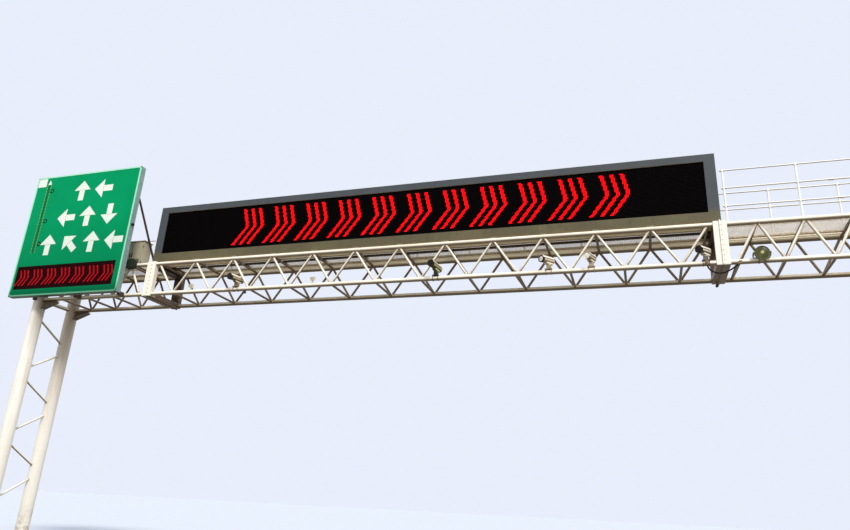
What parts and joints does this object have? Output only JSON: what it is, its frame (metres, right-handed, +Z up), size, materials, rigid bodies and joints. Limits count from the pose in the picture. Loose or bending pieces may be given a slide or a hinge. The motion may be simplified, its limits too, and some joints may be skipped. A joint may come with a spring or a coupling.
{
  "type": "overhead sign gantry",
  "caption": "Box-truss gantry on two braced tube legs over a carriageway, with a long message board, a square direction sign, a walkway and cameras.",
  "frame": {"origin": "centre of the underside of the left front foot, at ground level", "axes": "+X along the beam to the driver's right, +Y away from the driver, +Z up"},
  "size_m": [23.58, 2.085, 10.526],
  "materials": {
    "painted_steel": "off-white gloss paint over galvanising, weathered",
    "column_paint": "off-white gloss paint",
    "galvanised_steel": "dull hot-dip galvanised",
    "deck_mesh": "expanded steel mesh, galvanised and rust-flecked",
    "board_sheet": "grey powder-coated sheet",
    "screen_black": "matt black display modules",
    "sign_green": "green retroreflective sheeting",
    "sign_aluminium": "mill aluminium, dulled",
    "cabinet_paint": "grey-beige powder coat",
    "camera_white": "white painted housing",
    "lamp_body": "dull olive housing",
    "cable_black": "black corrugated conduit"
  },
  "bodies": {
    "root": {"left_front_foot": "column_paint", "left_rear_foot": "column_paint", "right_front_foot": "column_paint", "right_rear_foot": "column_paint", "left_front_column": "column_paint", "left_rear_column": "column_paint", "right_front_column": "column_paint", "right_rear_column": "column_paint", "left_leg_bracing": "painted_steel", "right_leg_bracing": "painted_steel", "haunches": "painted_steel", "mid_front_lattice": "painted_steel", "mid_rear_lattice": "painted_steel", "mid_top_struts": "painted_steel", "mid_bottom_struts": "painted_steel", "left_front_lattice": "painted_steel", "left_rear_lattice": "painted_steel", "left_struts": "painted_steel", "right_front_lattice": "painted_steel", "right_rear_lattice": "painted_steel", "right_struts": "painted_steel", "left_outer_frame": "painted_steel", "left_inner_frame": "painted_steel", "right_inner_frame": "painted_steel", "right_outer_frame": "painted_steel", "walkway_angles": "galvanised_steel", "left_deck": "deck_mesh", "mid_deck": "deck_mesh", "right_deck": "deck_mesh", "joint_plates": "galvanised_steel", "cable_ducts": "galvanised_steel", "rear_railing": "painted_steel", "front_railing": "painted_steel", "end_rails": "painted_steel", "board_housing": "board_sheet", "board_frame": "board_sheet", "board_screen": "screen_black", "board_sills": "galvanised_steel", "sign_box": "sign_aluminium", "sign_face": "sign_green", "sign_display": "screen_black", "sign_posts": "galvanised_steel", "sign_stays": "galvanised_steel", "equipment_cabinet": "cabinet_paint", "terminal_box": "lamp_body", "lane_camera_1": "camera_white", "lane_camera_2": "camera_white", "lane_camera_3": "camera_white", "lane_camera_4": "camera_white", "lane_camera_5": "camera_white", "lane_sensors": "camera_white", "flash_lamp": "lamp_body", "lead_boxes": "painted_steel", "camera_lead": "cable_black"}
  },
  "joints": []
}
